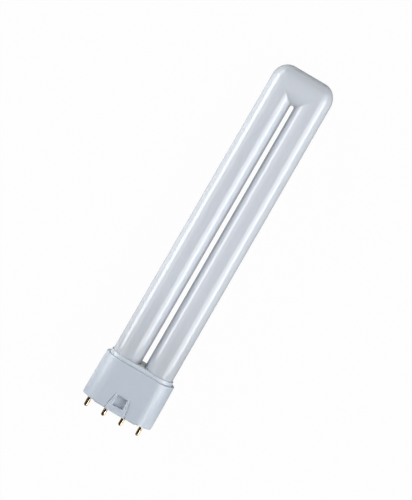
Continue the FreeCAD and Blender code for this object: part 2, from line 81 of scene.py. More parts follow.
# The lamp is drawn upright: +Z is its axis towards the glass tip, -Y its front, and 0 its seat
# face. This turn lays it on its back, as the frame has it.
SEAT = next(mount for mount in frame["record"]["mounts"] if mount["name"] == "cap_seat")
LEAN = math.asin(SEAT["axis"][2])
LAY_DOWN = Matrix.Rotation(-QUARTER_TURN - LEAN, 4, "X")
PIN_BOXES = [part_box(f"contact_pin_{number}") for number in range(1, 5)]
PINS_ACROSS = [(low.x + high.x) / 2 for low, high in PIN_BOXES]


def length(label, millimetres, note):
    return FloatProperty(name=label, description=note, default=millimetres * MM, min=0.0,
                         precision=5, unit="LENGTH", subtype="DISTANCE")


def turn(label, degrees, note):
    return FloatProperty(name=label, description=note, default=math.radians(degrees),
                         unit="ROTATION", subtype="ANGLE")


def share(label, value, note):
    return FloatProperty(name=label, description=note, default=value, min=0.0, max=1.0,
                         subtype="FACTOR")


def tint(label, red, green, blue, note):
    return FloatVectorProperty(name=label, description=note, default=(red, green, blue),
                               min=0.0, max=1.0, size=3, subtype="COLOR")


class BulbGlass(bpy.types.PropertyGroup):
    """Sizes and colour of the glass vessel."""

    radius: length("Tube radius", 8.7, "Outer radius of each leg")
    pitch_half: length("Leg offset", 10.1, "From the lamp's axis to the axis of a leg's foot")
    bridge_pitch: length("Bridge offset", 9.85, "The same offset where the bridge starts")
    bridge_height: length("Bridge half height", 9.8, "Half height of the bridge's oval section")
    top: length("Lamp length", 217.6, "From the seat face to the glass tip")
    crease: length("Crease radius", 1.25, "Rounding where a leg and the bridge meet in the slit")
    foot: length("Leg end", 13.5, "Height of the legs' lower ends above the seat face")
    foot_round: length("Leg end rounding", 1.0, "Rounding of the legs' lower ends")
    rim: length("Leg end rim", 2.2, "Width of the rim round the stem's recess")
    stem_radius: length("Stem radius", 3.8, "Radius of the flat stem in the recess")
    stem_recess: length("Stem recess", 2.5, "Depth of the recess in a leg's lower end")
    exhaust_radius: length("Exhaust radius", 2.0, "Radius of the sealed exhaust tube")
    exhaust_length: length("Exhaust length", 7.5, "Length of the sealed exhaust tube")
    segments: IntProperty(name="Segments", description="Faces round a leg", default=128, min=16)
    leg_rows: IntProperty(name="Leg rows", description="Rows of faces along a leg",
                          default=40, min=1)
    corner_rows: IntProperty(name="Corner rows", description="Rows of faces round a corner",
                             default=20, min=4)
    coating: tint("Coating", 0.587, 0.624, 0.679, "Colour of the coating behind the clear glass")
    # Painted shade: how grey the coating is painted at the foot of the legs, near the cap
    painted_foot_shade: share("Foot shade", 0.82, "Brightness of the coating's grey at the electrodes")


class BulbCap(bpy.types.PropertyGroup):
    """Sizes and colour of the cap's housing."""

    height: length("Height", 27.5, "Height of the housing above the seat face")
    radius: length("Radius", 11.45, "Radius of the rounded ends at the foot")
    pitch_half: length("End offset", 10.3, "From the axis to the centre of a rounded end")
    draft: turn("Draft", 0.73, "Slope of the walls, narrower at the top")
    rim_round: length("Rim rounding", 0.5, "Rounding of the upper edge")
    foot_round: length("Foot rounding", 0.8, "Rounding of the lower edge")
    floor: length("Floor", 3.0, "Thickness of the floor that holds the pins")
    ledge: length("Ledge", 12.0, "Height of the ledge that the holder stands on")
    cavity_pitch: length("Cavity offset", 10.1, "From the axis to the centre of a cavity's end")
    cavity_radius: length("Cavity radius", 9.55, "Radius of the upper cavity's ends")
    lower_radius: length("Lower cavity radius", 9.0, "Radius of the lower cavity's ends")
    pad_half: length("Seat pad", 13.3, "Half width of the proud middle of the foot")
    pad_height: length("Pad height", 0.45, "How far the foot's ends stand back from the seat")
    notch_width: length("Notch width", 1.2, "Width of the notch beside the seat pad")
    notch_depth: length("Notch depth", 1.1, "Depth of the notch beside the seat pad")
    notch_reach: length("Notch reach", 1.4, "How far the notch goes in from the front or back")
    hole_radius: length("Pin hole", 1.45, "Radius of the holes for the pins")
    segments: IntProperty(name="Segments", description="Faces round an end", default=48, min=8)
    plastic: tint("Plastic", 0.485, 0.537, 0.608, "Colour of the moulded plastic")


class BulbCatch(bpy.types.PropertyGroup):
    """Sizes of the catch on the front and the back of the cap."""

    face: length("Face", 11.85, "From the lamp's middle plane to the catch's face")
    height: length("Height", 10.2, "Height of the catch above the seat face")
    head_half: length("Half width at the top", 4.3, "Half width of the catch's upper edge")
    foot_half: length("Half width at the foot", 6.2, "Half width of the catch's lower edge")
    bow: length("Side bow", 0.2, "How far the sides bow outwards at half height")
    groove_width: length("Groove width", 0.3, "Width of the groove down each side")
    groove_depth: length("Groove depth", 0.5, "Depth of the groove below the foot's outline")
    edge: length("Edge rounding", 0.4, "Rounding of the catch's outer edges")
    window_half: length("Window half width", 3.25, "Half width of the window")
    window_height: length("Window height", 6.4, "Height of the window")
    window_depth: length("Window depth", 2.3, "Depth of the window below the catch's face")
    window_bevel: length("Window bevel", 0.5, "Width of the bevel round the window")
    side_steps: IntProperty(name="Side steps", description="Straight pieces of a bowed side",
                            default=6, min=1)


class BulbCollar(bpy.types.PropertyGroup):
    """Sizes of the tube holder, whose collar shows above the cap."""

    top: length("Top", 29.8, "Height of the collar's top above the seat face")
    foot: length("Foot", 12.0, "Height of the holder's foot above the seat face")
    radius: length("Radius", 9.5, "Radius of the collar's rounded ends")
    bore: length("Bore", 9.0, "Radius of each socket")
    lip: length("Lip", 1.6, "Width of the lip that a leg stands on")
    lip_height: length("Lip height", 1.5, "Height of the lip")
    edge: length("Edge rounding", 0.3, "Rounding of the collar's upper edge")
    plastic: tint("Plastic", 0.525, 0.574, 0.632, "Colour of the moulded plastic")


class BulbPins(bpy.types.PropertyGroup):
    """Sizes and colour of the contact pins."""

    radius: length("Radius", 1.15, "Radius of a pin")
    reach: length("Length", 6.8, "From the seat face to a pin's tip")
    root: length("Root radius", 1.4, "Radius of the root in the cap's floor")
    flange_foot: length("Flange foot", 3.0, "Height of the flange's lower face")
    flange_top: length("Flange top", 3.7, "Height of the flange's upper face")
    flange_rim: length("Flange rim", 0.6, "How far the flange stands out from the root")
    crimp_top: length("Crimp top", 5.5, "Height of the pin's inner end")
    wall: length("Wall", 0.5, "Wall of the hollow pin")
    tip_wall: length("Tip wall", 0.8, "Thickness of metal at the tip")
    edge: length("Edge rounding", 0.08, "Rounding of the turned edges")
    segments: IntProperty(name="Segments", description="Faces round a pin", default=48, min=8)
    brass: tint("Brass", 0.82, 0.64, 0.41, "Colour of the turned brass")


class BulbInside(bpy.types.PropertyGroup):
    """Colours of the pieces inside the cap."""

    cement: tint("Cement", 0.62, 0.60, 0.55, "Colour of the cement round the legs")
    wire: tint("Wire", 0.58, 0.56, 0.54, "Colour of the lead wires")


class BulbStage(bpy.types.PropertyGroup):
    """The camera, the floor and the lamps round the bulb."""

    tilt: turn("Tilt", 10.2, "How far the camera leans towards the glass tip")
    yaw: turn("Yaw", 2.6, "How far the camera stands to the right")
    roll: turn("Roll", 30.03, "How far the lamp's axis leans right in the picture")
    distance: FloatProperty(name="Distance", description="From the camera to the bulb",
                            default=6.0, unit="LENGTH", subtype="DISTANCE")
    framed: length("Framed height", 277.05, "What the picture's long side spans at the bulb")
    aim_across: length("Aim across", 1.59, "How far left of the axis the picture's middle is")
    aim_along: length("Aim along", 103.58, "How far along the lamp the picture's middle is")
    mirrored_sky: share("Mirrored sky", 0.05, "Strength of the sky in mirror images")
    floor_glow: share("Floor glow", 0.975, "How much of the seen floor is plain white")
    floor_grey: share("Floor grey", 0.5, "How much light the floor throws back")
    # Painted reflections: the floor's glow where it is painted dark in mirror images
    painted_reflection_glow: share("Card glow", 0.05, "Strength of the dark cards in mirror images")


PARTS = {"glass": BulbGlass, "cap": BulbCap, "catch": BulbCatch, "collar": BulbCollar,
         "pins": BulbPins, "inside": BulbInside, "stage": BulbStage}


class BulbSettings(bpy.types.PropertyGroup):
    """All the settings of the bulb."""


for part_name, part_group in PARTS.items():
    BulbSettings.__annotations__[part_name] = PointerProperty(
        type=part_group, name=part_name.title(), description=part_group.__doc__)


# Shader nodes


class Value:
    """A number from a socket. Sums on it add Math nodes."""

    def __init__(self, finish, socket):
        self.finish = finish
        self.socket = socket

    def math(self, operation, first, second):
        node = self.finish.node("ShaderNodeMath", {"operation": operation},
                                {0: first, 1: second})
        return Value(self.finish, node.outputs[0])

    def __add__(self, other):
        return self.math("ADD", self, other)

    def __radd__(self, other):
        return self.math("ADD", other, self)

    def __sub__(self, other):
        return self.math("SUBTRACT", self, other)

    def __rsub__(self, other):
        return self.math("SUBTRACT", other, self)

    def __mul__(self, other):
        return self.math("MULTIPLY", self, other)

    def __rmul__(self, other):
        return self.math("MULTIPLY", other, self)

    def at_most(self, other):
        return self.math("MINIMUM", self, other)

    def spread(self, low, high, to_low, to_high):
        """Maps the range low to high smoothly onto another, and holds it there."""
        node = self.finish.node(
            "ShaderNodeMapRange", {"interpolation_type": "SMOOTHSTEP"},
            {"Value": self, "From Min": low, "From Max": high,
             "To Min": to_low, "To Max": to_high})
        return Value(self.finish, node.outputs["Result"])


class Finish:
    """The nodes of a material, a lamp or the sky."""

    def __init__(self, owner):
        owner.use_nodes = True
        self.owner = owner
        self.tree = owner.node_tree
        self.tree.nodes.clear()

    @classmethod
    def named(cls, name):
        return cls(bpy.data.materials.new(name))

    def node(self, kind, settings=(), sockets=()):
        """Adds a node: its settings first, then the values or links of its sockets."""
        node = self.tree.nodes.new(kind)
        for name, value in dict(settings).items():
            setattr(node, name, value)
        for name, value in dict(sockets).items():
            target = node.inputs[name]
            if isinstance(value, Value):
                self.tree.links.new(value.socket, target)
            elif isinstance(value, bpy.types.NodeSocket):
                self.tree.links.new(value, target)
            elif target.type == "RGBA":
                target.default_value = (*value, 1.0)
            else:
                target.default_value = value
        return node

    def place(self, stretch=(1.0, 1.0, 1.0)):
        """The point on the piece, stretched for a pattern that differs with direction."""
        point = self.node("ShaderNodeTexCoord").outputs["Object"]
        mapped = self.node("ShaderNodeMapping", {}, {"Vector": point, "Scale": stretch})
        return mapped.outputs[0]

    def noise(self, per_metre, detail=2.0, stretch=(1.0, 1.0, 1.0)):
        """A cloudy value round 0.5, with about that many clouds a metre."""
        node = self.node("ShaderNodeTexNoise", {}, {
            "Vector": self.place(stretch), "Scale": per_metre, "Detail": detail})
        return Value(self, node.outputs["Fac"])

    def along(self, axis):
        """How far along that axis of the piece the point is."""
        split = self.node("ShaderNodeSeparateXYZ", {}, {"Vector": self.place()})
        return Value(self, split.outputs[axis])

    def blend(self, factor, first, second):
        """A colour between two others."""
        node = self.node("ShaderNodeMix", {"data_type": "RGBA"},
                         {"Factor": factor, "A": first, "B": second})
        return next(out for out in node.outputs if out.type == "RGBA")

    def shades(self, colour, amount, value):
        """A colour that gets darker and lighter by a share as the value goes from 0 to 1."""
        return self.blend(value, [channel * (1 - amount) for channel in colour],
                          [min(channel * (1 + amount), 1.0) for channel in colour])

    def bumps(self, height, depth):
        """A normal for a relief whose height, from 0 to 1, stands for that depth."""
        return self.node("ShaderNodeBump", {}, {
            "Height": height, "Strength": 1.0, "Distance": depth}).outputs[0]

    def ray(self, kind):
        """One for rays of that kind and nought for all others."""
        return Value(self, self.node("ShaderNodeLightPath").outputs[f"Is {kind} Ray"])

    def mixed(self, factor, first, second):
        return self.node("ShaderNodeMixShader", {}, {
            0: factor, 1: first.outputs[0], 2: second.outputs[0]})

    def glow(self, strength):
        return self.node("ShaderNodeEmission", {}, {
            "Color": (1.0, 1.0, 1.0), "Strength": strength})

    def surface(self, shader, output="ShaderNodeOutputMaterial"):
        self.node(output, {}, {"Surface": shader.outputs[0]})
        return self.owner

    def principled(self, **sockets):
        """The whole surface, from sockets named as in the node but with low lines."""
        names = {name.replace("_", " ").title().replace("Ior", "IOR"): value
                 for name, value in sockets.items()}
        return self.surface(self.node("ShaderNodeBsdfPrincipled", {}, names))


def coated_glass(glass):
    """Clear glass over a white powder coating, not quite flat in tone, with painted shade
    that makes it a little greyer towards the foot of the legs, near the cap."""
    finish = Finish.named("coated_glass")
    clouds = finish.noise(90, 3.0)
    grain = finish.noise(2500, 2.0)
    ripple = finish.noise(45, 1.0, (1.0, 0.35, 1.0))
    white = finish.shades(glass.coating, 0.02, clouds * 0.8 + grain * 0.2)
    # Painted shade: the coating is painted greyer towards the foot of the legs, as the shade
    # near the cap
    grey = [channel * glass.painted_foot_shade for channel in glass.coating]
    whiteness = finish.along("Y").spread(20 * MM, 90 * MM, 0.0, 1.0)
    return finish.principled(
        base_color=finish.blend(whiteness, grey, white),
        roughness=clouds.spread(0.3, 0.7, 0.42, 0.50),
        specular_ior_level=0.15, ior=1.5,
        coat_weight=1.0, coat_roughness=0.03, coat_ior=1.5,
        normal=finish.bumps(ripple, 0.006 * MM))


def moulded_plastic(name, colour):
    """Satin plastic with the fine grain of an etched mould and a faint flow of tone."""
    finish = Finish.named(name)
    flow = finish.noise(60, 2.0)
    grain = finish.noise(9000, 2.0)
    return finish.principled(
        base_color=finish.shades(colour, 0.025, flow),
        roughness=flow.spread(0.3, 0.7, 0.27, 0.33) + grain * 0.05,
        ior=1.6,
        normal=finish.bumps(grain, 0.006 * MM))


def turned_brass(colour):
    """Polished brass with faint rings from turning and a little tarnish."""
    finish = Finish.named("turned_brass")
    tarnish = finish.noise(700, 3.0)
    rings = finish.noise(6000, 1.0, (0.02, 1.0, 0.02))
    return finish.principled(
        base_color=finish.shades(colour, 0.08, tarnish),
        metallic=1.0,
        roughness=tarnish.spread(0.35, 0.7, 0.08, 0.15),
        normal=finish.bumps(rings, 0.001 * MM))


def grainy_cement(colour):
    """Dull cement with coarse grit."""
    finish = Finish.named("bonding_cement")
    grit = finish.noise(3000, 4.0)
    return finish.principled(
        base_color=finish.shades(colour, 0.12, grit),
        roughness=grit.spread(0.3, 0.7, 0.75, 0.95),
        normal=finish.bumps(grit, 0.05 * MM))


def drawn_wire(colour):
    """Plain wire with the long lines that drawing leaves."""
    finish = Finish.named("drawn_wire")
    lines = finish.noise(5000, 2.0, (1.0, 0.05, 1.0))
    return finish.principled(
        base_color=finish.shades(colour, 0.08, lines),
        metallic=1.0,
        roughness=lines.spread(0.3, 0.7, 0.28, 0.42),
        normal=finish.bumps(lines, 0.004 * MM))


def white_floor(stage):
    """A floor seen as plain white that still takes a soft shadow. It lights the bulb as a mid
    grey one would. In mirror images it is painted dark, as painted reflections of shade and of
    dark surroundings that aren't there: to the right of the glass, less so close to the left leg
    and under the slit, beyond the tip, and to the left of the pins."""
    finish = Finish.named("white_floor")
    mirrored = finish.ray("Glossy")
    seen = (mirrored + finish.ray("Camera") + finish.ray("Transmission")).at_most(1.0)
    across, along = finish.along("X"), finish.along("Y")
    near_glass = (along.spread(200 * MM, 240 * MM, 1.0, 0.0)
                  * along.spread(-10 * MM, 10 * MM, 0.0, 1.0))
    near_pins = along.spread(-10 * MM, 10 * MM, 1.0, 0.0)
    beyond_tip = (along.spread(200 * MM, 210 * MM, 0.0, 1.0)
                  * along.spread(260 * MM, 290 * MM, 1.0, 0.0))
    # Painted dark reflections: where the floor is painted dark for mirror rays beside the glass
    # and pins
    painted_reflection_by_glass = (across.spread(-40 * MM, -25 * MM, 0.0, 0.5)
                  - across.spread(-20 * MM, 0.0, 0.0, 0.3)
                  + across.spread(0.0, 20 * MM, 0.0, 0.75))
    painted_reflection_by_pins = across.spread(-30 * MM, 30 * MM, 1.0, 0.0)
    dim = (painted_reflection_by_glass * near_glass + painted_reflection_by_pins * near_pins + beyond_tip).at_most(1.0)
    paper = finish.noise(400, 2.0)
    plain = finish.node("ShaderNodeBsdfDiffuse", {}, {
        "Color": finish.shades([stage.floor_grey] * 3, 0.01, paper)})
    # Painted reflections: mirror rays see the dark glow where the masks say so, camera rays
    # plain white
    white = finish.mixed(mirrored * dim, finish.glow(1.0), finish.glow(stage.painted_reflection_glow))
    return finish.surface(finish.mixed(seen * stage.floor_glow, plain, white))


# Meshes


def verts_of(edges):
    """Each vert of the edges once, in an order that is the same on each run."""
    return list(dict.fromkeys(vert for edge in edges for vert in edge.verts))


def of_kind(geometry, kind):
    return [part for part in geometry if isinstance(part, kind)]


def shifted(x=0.0, y=0.0, z=0.0):
    return Matrix.Translation((x, y, z))


def settle(bm):
    """Puts edges and faces in the order of their verts. Some operators leave theirs to chance,
    and then each run would split flat faces a little differently."""
    bm.verts.index_update()
    for parts in (bm.edges, bm.faces):
        in_order = sorted(parts, key=lambda part: sorted(vert.index for vert in part.verts))
        places = {part: place for place, part in enumerate(in_order)}
        parts.sort(key=places.get)


def grow(bm, ring):
    """Adds a band of faces to an open ring of edges, and gives the ring at its other side."""
    grown = bmesh.ops.extrude_edge_only(bm, edges=ring)["geom"]
    return of_kind(grown, bmesh.types.BMEdge)


def resize_ring(bm, ring, centre, factor, lift):
    """Scales a level ring about a vertical axis and lifts it."""
    verts = verts_of(ring)
    bmesh.ops.scale(bm, vec=(factor, factor, 1.0), space=shifted(*-centre), verts=verts)
    bmesh.ops.translate(bm, vec=(0.0, 0.0, lift), verts=verts)


def swing(bm, verts, centre, before, after):
    """Turns and stretches verts in the front plane about a point, to take before to after."""
    angle = math.atan2(after[1], after[0]) - math.atan2(before[1], before[0])
    factor = math.hypot(*after) / math.hypot(*before)
    stretch = Matrix.Diagonal((factor, 1.0, factor, 1.0))
    bmesh.ops.transform(bm, matrix=Matrix.Rotation(-angle, 4, "Y") @ stretch,
                        space=shifted(*-centre), verts=verts)


def draw_circle(bm, segments, radius, x, z):
    """A level circle round an upright line at x; gives its ring of edges."""
    made = bmesh.ops.create_circle(bm, segments=segments, radius=radius,
                                   matrix=shifted(x=x, z=z))
    return list(dict.fromkeys(edge for vert in made["verts"] for edge in vert.link_edges))


def cap_ring(bm, ring):
    """Closes a ring with one flat face."""
    bmesh.ops.contextual_create(bm, geom=ring)


def rounded(count):
    """Steps of a quarter circle, as shares of its radius across and up, from side to top."""
    angles = [QUARTER_TURN * step / count for step in range(count + 1)]
    return [(1 - math.cos(angle), math.sin(angle)) for angle in angles]


def add_piece(name, bm, material, slot, *nodes):
    """Lays a finished mesh down as a piece that stands for CAD nodes."""
    bmesh.ops.remove_doubles(bm, verts=bm.verts, dist=NEAR)
    settle(bm)
    bmesh.ops.recalc_face_normals(bm, faces=bm.faces)
    bmesh.ops.transform(bm, matrix=LAY_DOWN, verts=bm.verts)
    mesh = bpy.data.meshes.new(name)
    bm.to_mesh(mesh)
    bm.free()
    mesh.shade_smooth()
    mesh.set_sharp_from_angle(angle=SHARP_ANGLE)
    piece = bpy.data.objects.new(name, mesh)
    bpy.context.scene.collection.objects.link(piece)
    mesh.materials.append(material)
    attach(piece, "root")
    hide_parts(*nodes)


# Glass


def lathe_leg_end(bm, glass):
    """The sealed lower end of a leg, from the exhaust tip to the outer wall; gives its ring."""
    stem = glass.foot + glass.stem_recess
    tip = stem - glass.exhaust_length
    steps = rounded(count=8)
    outline = [(glass.exhaust_radius * rise, tip + glass.exhaust_radius * across)
               for across, rise in steps[1:]]
    outline += [(glass.exhaust_radius, stem), (glass.stem_radius, stem),
                (glass.radius - glass.rim, glass.foot),
                (glass.radius - glass.foot_round, glass.foot)]
    outline += [(glass.radius - glass.foot_round * (1 - rise),
                 glass.foot + glass.foot_round * across) for across, rise in steps[1:]]
    centre = Vector((glass.pitch_half, 0.0, 0.0))
    (radius, height), rest = outline[0], outline[1:]
    ring = draw_circle(bm, glass.segments, radius, glass.pitch_half, height)
    cap_ring(bm, ring)
    for next_radius, next_height in rest:
        ring = grow(bm, ring)
        resize_ring(bm, ring, centre, next_radius / radius, next_height - height)
        radius, height = next_radius, next_height
    return ring


def split_ring(ring, glass, bridge_z):
    """The verts of a ring on the slit's side and on the outer side of the corner's diagonal."""
    inner, outer = [], []
    for vert in verts_of(ring):
        side = ((vert.co.x - glass.bridge_pitch) / glass.radius
                + (vert.co.z - bridge_z) / glass.bridge_height)
        if side < -NEAR:
            inner.append(vert)
        elif side > NEAR:
            outer.append(vert)
    return inner, outer


def turn_corner(bm, ring, glass):
    """Carries the tube's ring from the leg round the corner into the bridge."""
    bridge_z = glass.top - glass.bridge_height
    centre = Vector((glass.bridge_pitch, 0.0, bridge_z))
    radius, height, crease = glass.radius, glass.bridge_height, glass.crease

    def inner_reach(angle):
        return (-(radius + crease) + crease * math.cos(angle),
                -(height + crease) + crease * math.sin(angle))

    def outer_reach(angle):
        return radius * math.cos(angle), height * math.sin(angle)

    for row in range(glass.corner_rows):
        before, after = (QUARTER_TURN * count / glass.corner_rows for count in (row, row + 1))
        ring = grow(bm, ring)
        inner, outer = split_ring(ring, glass, bridge_z)
        swing(bm, inner, centre, inner_reach(before), inner_reach(after))
        swing(bm, outer, centre, outer_reach(before), outer_reach(after))
    return ring


def grow_leg(bm, ring, glass):
    """Carries the tube's ring up the leg, with its inner half ever more mitred on the way."""
    foot = Vector((glass.pitch_half, 0.0, glass.foot + glass.foot_round))
    bridge = Vector((glass.bridge_pitch, 0.0, glass.top - glass.bridge_height))
    step = (bridge - foot) / glass.leg_rows
    mitre = Matrix.Identity(4)
    mitre[2][0] = (glass.bridge_height + glass.crease) / glass.radius / glass.leg_rows
    for row in range(1, glass.leg_rows + 1):
        middle = foot + step * row
        ring = grow(bm, ring)
        bmesh.ops.translate(bm, vec=step, verts=verts_of(ring))
        inner = [vert for vert in verts_of(ring) if vert.co.x < middle.x]
        bmesh.ops.transform(bm, matrix=mitre, space=shifted(*-middle), verts=inner)
    return ring


def glass_mesh(glass):
    """One leg with its half of the bridge, mirrored into the whole vessel."""
    bm = bmesh.new()
    ring = lathe_leg_end(bm, glass)
    ring = grow_leg(bm, ring, glass)
    ring = turn_corner(bm, ring, glass)
    ring = grow(bm, ring)
    bmesh.ops.scale(bm, vec=(0.0, 1.0, 1.0), verts=verts_of(ring))
    bmesh.ops.mirror(bm, geom=bm.verts[:] + bm.edges[:] + bm.faces[:], axis="X",
                     merge_dist=NEAR)
    return bm


# Cap


def draw_stadium(bm, half_pitch, radius, height, steps):
    """Two half circles joined by straight sides; gives the ring of edges."""
    known = set(bm.edges)
    start = bm.verts.new((half_pitch, -radius, height))
    bmesh.ops.spin(bm, geom=[start], cent=(half_pitch, 0.0, height), axis=(0.0, 0.0, 1.0),
                   angle=math.pi, steps=steps)
    arc = [edge for edge in bm.edges if edge not in known]
    twin = bmesh.ops.duplicate(bm, geom=verts_of(arc) + arc)["geom"]
    bmesh.ops.rotate(bm, cent=(0.0, 0.0, 0.0), matrix=Matrix.Rotation(math.pi, 3, "Z"),
                     verts=of_kind(twin, bmesh.types.BMVert))
    arcs = [edge for edge in bm.edges if edge not in known]
    ends = [vert for vert in verts_of(arcs) if len(vert.link_edges) == 1]
    for side in (-1, 1):
        pair = [vert for vert in ends if vert.co.y * side > 0]
        arcs += of_kind(bmesh.ops.contextual_create(bm, geom=pair)["edges"], bmesh.types.BMEdge)
    return arcs


class StadiumSkin:
    """A skin that grows by stadium rings, each with its own end offset, radius and height."""

    def __init__(self, bm, half_pitch, radius, height, steps):
        self.bm = bm
        self.size = (half_pitch, radius, height)
        self.ring = draw_stadium(bm, half_pitch, radius, height, steps)

    def to(self, half_pitch, radius, height):
        pitch_before, radius_before, height_before = self.size
        self.ring = grow(self.bm, self.ring)
        factor = radius / radius_before
        for side in (-1, 1):
            verts = [vert for vert in verts_of(self.ring) if vert.co.x * side > 0]
            bmesh.ops.scale(self.bm, vec=(factor, factor, 1.0), verts=verts,
                            space=shifted(-side * pitch_before, 0.0, 0.0))
            bmesh.ops.translate(self.bm, verts=verts, vec=(
                side * (half_pitch - pitch_before), 0.0, height - height_before))
        self.size = (half_pitch, radius, height)


def housing_shell(cap):
    """The housing before it is cut: rounded foot, drafted walls, round rim, two cavities."""
    bm = bmesh.new()
    pitch, steps = cap.pitch_half, rounded(count=6)
    slope = math.tan(cap.draft)
    skin = StadiumSkin(bm, pitch, cap.radius - cap.foot_round, 0.0, cap.segments)
    cap_ring(bm, skin.ring)
    for across, rise in steps[1:]:
        height = cap.foot_round * across
        skin.to(pitch, cap.radius - cap.foot_round * (1 - rise) - slope * height, height)
    rim = cap.height - cap.rim_round
    top_radius = cap.radius - slope * rim
    skin.to(pitch, top_radius, rim)
    for across, rise in steps[1:]:
        skin.to(pitch, top_radius - cap.rim_round * across, rim + cap.rim_round * rise)
    skin.to(cap.cavity_pitch, cap.cavity_radius, cap.height)
    skin.to(cap.cavity_pitch, cap.cavity_radius, cap.ledge)
    skin.to(cap.cavity_pitch, cap.lower_radius, cap.ledge)
    skin.to(cap.cavity_pitch, cap.lower_radius, cap.floor)
    cap_ring(bm, skin.ring)
    bmesh.ops.recalc_face_normals(bm, faces=bm.faces)
    return bm


def add_box(bm, low, high):
    """A plain block between two corners."""
    low, high = Vector(low), Vector(high)
    place = Matrix.Translation((low + high) / 2) @ Matrix.Diagonal((*(high - low), 1.0))
    return bmesh.ops.create_cube(bm, size=1.0, matrix=place)["verts"]


def catch_outline(catch, widening):
    """Corners of the catch seen from the front: narrow at the top, with bowed sides."""
    right = []
    for step in range(catch.side_steps + 1):
        rise = step / catch.side_steps
        half = (catch.foot_half + (catch.head_half - catch.foot_half) * rise
                + 4 * catch.bow * rise * (1 - rise))
        right.append((half + widening, catch.height * rise))
    return right + [(-half, height) for half, height in reversed(right)]


def add_slab(bm, outline, near, far):
    """An upright outline, drawn from the front, made as thick as from near to far."""
    verts = [bm.verts.new((x, -near, z)) for x, z in outline]
    face = bm.faces.new(verts)
    grown = bmesh.ops.extrude_face_region(bm, geom=[face])["geom"]
    moved = of_kind(grown, bmesh.types.BMVert)
    bmesh.ops.translate(bm, vec=(0.0, near - far, 0.0), verts=moved)


def both_faces(bm):
    """Repeats everything on the back of the lamp."""
    twin = bmesh.ops.duplicate(bm, geom=bm.verts[:] + bm.edges[:] + bm.faces[:])["geom"]
    bmesh.ops.rotate(bm, cent=(0.0, 0.0, 0.0), matrix=Matrix.Rotation(math.pi, 3, "Z"),
                     verts=of_kind(twin, bmesh.types.BMVert))


def catch_bed(cap, catch):
    """What is cut away for the catch: its outline with a groove down each side."""
    bm = bmesh.new()
    add_slab(bm, catch_outline(catch, catch.groove_width), cap.radius - catch.groove_depth,
             catch.face + SPARE)
    both_faces(bm)
    return bm


def catch_body(cap, catch):
    """The raised catches with rounded edges, whose roots reach into the wall."""
    bm = bmesh.new()
    root = cap.radius - catch.groove_depth - SPARE / 2
    add_slab(bm, catch_outline(catch, 0.0), root, catch.face)
    rim = [edge for edge in bm.edges
           if all(vert.co.y < NEAR - catch.face for vert in edge.verts)
           and any(vert.co.z > NEAR for vert in edge.verts)]
    bmesh.ops.bevel(bm, geom=rim, offset=catch.edge, segments=3, profile=0.5,
                    affect="EDGES", material=-1)
    both_faces(bm)
    return bm


def add_window(bm, catch):
    """The window with its bevelled rim, as what is cut away."""
    sill = catch.height - catch.window_height
    half_height = catch.window_height / 2
    outside = catch.face + SPARE / 2
    spread = catch.window_bevel + SPARE / 2
    neck = catch.face - catch.window_bevel
    add_box(bm, (-catch.window_half, -outside, sill),
            (catch.window_half, -(catch.face - catch.window_depth), catch.height))
    centre = Vector((0.0, 0.0, sill + half_height))
    bmesh.ops.bisect_plane(bm, geom=bm.verts[:] + bm.edges[:] + bm.faces[:],
                           plane_co=(0.0, -neck, 0.0), plane_no=(0.0, 1.0, 0.0))
    front = [vert for vert in bm.verts if vert.co.y < -catch.face]
    bmesh.ops.scale(bm, verts=front, space=shifted(*-centre), vec=(
        1 + spread / catch.window_half, 1.0, 1 + spread / half_height))


def foot_cuts(cap, catch):
    """What is cut away at the foot: its set-back ends, notches, pin holes and windows."""
    bm = bmesh.new()
    add_window(bm, catch)
    both_faces(bm)
    beyond = cap.radius * 3
    notch_end = cap.radius - cap.notch_reach
    for side in (-1, 1):
        near, edge, far = (side * x for x in (
            cap.pad_half, cap.pad_half + cap.notch_width, beyond))
        add_box(bm, (min(near, far), -beyond, -SPARE), (max(near, far), beyond, cap.pad_height))
        for low, high in ((-beyond, -notch_end), (notch_end, beyond)):
            add_box(bm, (min(near, edge), low, -SPARE / 2),
                    (max(near, edge), high, cap.notch_depth))
    for across in PINS_ACROSS:
        bmesh.ops.create_cone(bm, cap_ends=True, segments=cap.segments, depth=cap.floor * 3,
                              radius1=cap.hole_radius, radius2=cap.hole_radius,
                              matrix=shifted(across))
    return bm


def carve(bm, cuts):
    """Applies cuts, each an operation and a mesh, and gives the carved mesh."""
    body = object_of("carved", bm)
    tools = []
    for operation, tool_mesh in cuts:
        bmesh.ops.recalc_face_normals(tool_mesh, faces=tool_mesh.faces)
        tool = object_of("tool", tool_mesh)
        modifier = body.modifiers.new("carve", "BOOLEAN")
        modifier.object = tool
        modifier.operation = operation
        modifier.solver = "EXACT"
        modifier.use_self = operation == "DIFFERENCE"
        tools.append(tool)
    graph = bpy.context.evaluated_depsgraph_get()
    carved = bmesh.new()
    carved.from_mesh(body.evaluated_get(graph).to_mesh())
    for thing in [body, *tools]:
        mesh = thing.data
        bpy.data.objects.remove(thing)
        bpy.data.meshes.remove(mesh)
    return carved


def object_of(name, bm):
    """An object in the scene from a mesh that is then done with."""
    settle(bm)
    mesh = bpy.data.meshes.new(name)
    bm.to_mesh(mesh)
    bm.free()
    thing = bpy.data.objects.new(name, mesh)
    bpy.context.scene.collection.objects.link(thing)
    return thing


def housing_mesh(cap, catch):
    """The whole housing with its catches, foot and windows."""
    bm = carve(housing_shell(cap), [
        ("DIFFERENCE", catch_bed(cap, catch)),
        ("UNION", catch_body(cap, catch)),
        ("DIFFERENCE", foot_cuts(cap, catch))])
    bmesh.ops.remove_doubles(bm, verts=bm.verts, dist=NEAR)
    bmesh.ops.dissolve_limit(bm, angle_limit=FLAT_ANGLE, verts=bm.verts, edges=bm.edges)
    return bm


# Collar


